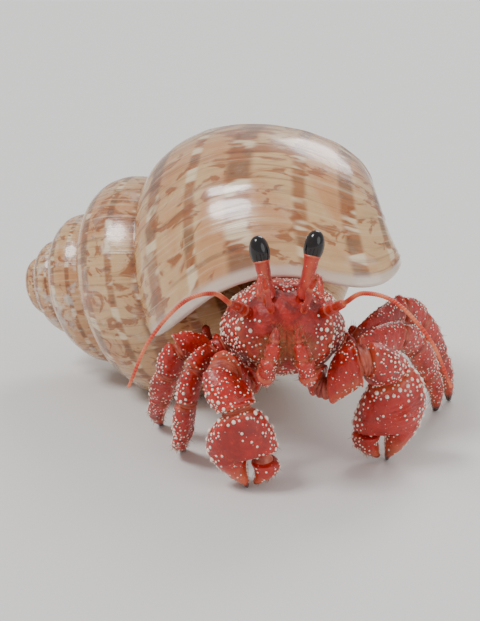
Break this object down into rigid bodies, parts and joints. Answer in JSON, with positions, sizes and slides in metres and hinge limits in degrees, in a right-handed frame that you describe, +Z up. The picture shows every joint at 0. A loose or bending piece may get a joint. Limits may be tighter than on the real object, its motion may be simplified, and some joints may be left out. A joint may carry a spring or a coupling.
{
  "type": "hermit crab in turban shell",
  "caption": "Life-size strawberry land hermit crab standing on its legs and claws in a smooth, spiral turban shell, with long eyestalks, bent feelers and a pale banded spire.",
  "frame": {"origin": "on the floor, under the middle of the whole model's bounding box", "axes": "+Z up, the crab faces -Y, its left side is towards +X, and the shell's point is towards -X and +Y"},
  "size_m": [0.099, 0.1036, 0.061],
  "materials": {
    "snail_shell": "glossy",
    "red_armour": "satin",
    "claws": "satin",
    "soft_body": "satin",
    "mouth_limbs": "satin",
    "feelers": "satin",
    "cornea": "glossy"
  },
  "bodies": {
    "root": {"shell": "snail_shell", "shield": "red_armour", "thorax": "soft_body", "abdomen": "soft_body", "eye_left": "cornea", "eye_right": "cornea", "eyestalk_left": "red_armour", "eyestalk_right": "red_armour", "antenna_base_left": "feelers", "antenna_base_right": "feelers", "antenna_left": "feelers", "antenna_right": "feelers", "antennule_left": "feelers", "antennule_right": "feelers", "maxilliped_left": "mouth_limbs", "maxilliped_right": "mouth_limbs", "small_leg_left": "red_armour", "small_leg_right": "red_armour", "front_leg_left_base": "red_armour", "front_leg_left_merus": "red_armour", "front_leg_left_carpus": "red_armour", "front_leg_left_propodus": "red_armour", "front_leg_left_dactyl": "red_armour", "front_leg_right_base": "red_armour", "front_leg_right_merus": "red_armour", "front_leg_right_carpus": "red_armour", "front_leg_right_propodus": "red_armour", "front_leg_right_dactyl": "red_armour", "rear_leg_left_base": "red_armour", "rear_leg_left_merus": "red_armour", "rear_leg_left_carpus": "red_armour", "rear_leg_left_propodus": "red_armour", "rear_leg_left_dactyl": "red_armour", "rear_leg_right_base": "red_armour", "rear_leg_right_merus": "red_armour", "rear_leg_right_carpus": "red_armour", "rear_leg_right_propodus": "red_armour", "rear_leg_right_dactyl": "red_armour", "cheliped_left_base": "red_armour", "cheliped_left_merus": "red_armour", "cheliped_left_carpus": "red_armour", "cheliped_left_palm": "claws", "cheliped_left_finger": "claws", "cheliped_right_base": "red_armour", "cheliped_right_merus": "red_armour", "cheliped_right_carpus": "red_armour", "cheliped_right_palm": "claws", "cheliped_right_finger": "claws"}
  },
  "joints": []
}
